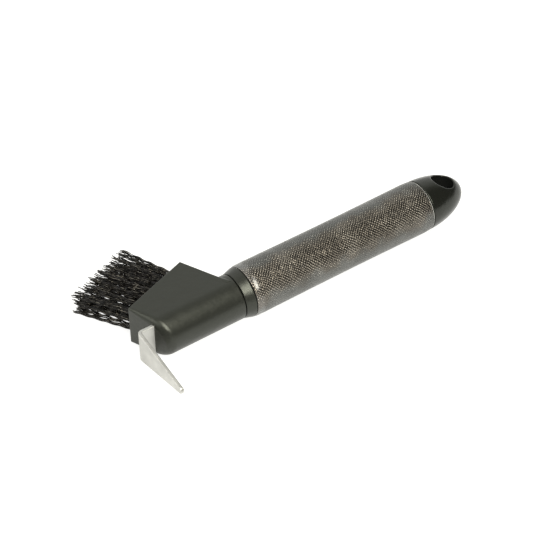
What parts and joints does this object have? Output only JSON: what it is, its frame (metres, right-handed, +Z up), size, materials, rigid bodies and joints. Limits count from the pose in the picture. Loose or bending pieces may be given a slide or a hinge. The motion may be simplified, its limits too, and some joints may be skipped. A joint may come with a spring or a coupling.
{
  "type": "hoof pick",
  "caption": "Hoof pick with brush: angled black head with a bent steel pick and a block of stiff bristles, round patterned handle and domed end cap with a hang hole.",
  "frame": {"origin": "bottom centre of the part's box, as it lies on its side", "axes": "+X along the handle from the head to the butt, +Y towards the bristle tips (the pick points to -Y), +Z up across the flat sides of the brush block"},
  "size_m": [0.1896, 0.0814, 0.0252],
  "materials": {
    "black_plastic": "satin moulded black plastic",
    "steel_blade": "satin plated steel strip with fine drawing lines",
    "bristle_nylon": "glossy crimped nylon filament",
    "anchor_steel": "flat galvanised wire",
    "patterned_sleeve": "gunmetal woven dot pattern under a clear glossy layer"
  },
  "bodies": {
    "root": {"head_body": "black_plastic", "pick_blade": "steel_blade", "bristle_tuft_01": "bristle_nylon", "anchor_staple_01": "anchor_steel", "bristle_tuft_02": "bristle_nylon", "anchor_staple_02": "anchor_steel", "bristle_tuft_03": "bristle_nylon", "anchor_staple_03": "anchor_steel", "bristle_tuft_04": "bristle_nylon", "anchor_staple_04": "anchor_steel", "bristle_tuft_05": "bristle_nylon", "anchor_staple_05": "anchor_steel", "bristle_tuft_06": "bristle_nylon", "anchor_staple_06": "anchor_steel", "bristle_tuft_07": "bristle_nylon", "anchor_staple_07": "anchor_steel", "bristle_tuft_08": "bristle_nylon", "anchor_staple_08": "anchor_steel", "bristle_tuft_09": "bristle_nylon", "anchor_staple_09": "anchor_steel", "bristle_tuft_10": "bristle_nylon", "anchor_staple_10": "anchor_steel", "bristle_tuft_11": "bristle_nylon", "anchor_staple_11": "anchor_steel", "bristle_tuft_12": "bristle_nylon", "anchor_staple_12": "anchor_steel", "bristle_tuft_13": "bristle_nylon", "anchor_staple_13": "anchor_steel", "bristle_tuft_14": "bristle_nylon", "anchor_staple_14": "anchor_steel", "bristle_tuft_15": "bristle_nylon", "anchor_staple_15": "anchor_steel", "bristle_tuft_16": "bristle_nylon", "anchor_staple_16": "anchor_steel", "bristle_tuft_17": "bristle_nylon", "anchor_staple_17": "anchor_steel", "bristle_tuft_18": "bristle_nylon", "anchor_staple_18": "anchor_steel", "bristle_tuft_19": "bristle_nylon", "anchor_staple_19": "anchor_steel", "bristle_tuft_20": "bristle_nylon", "anchor_staple_20": "anchor_steel", "bristle_tuft_21": "bristle_nylon", "anchor_staple_21": "anchor_steel", "handle_core": "black_plastic", "grip_sleeve": "patterned_sleeve", "end_cap": "black_plastic"}
  },
  "joints": []
}
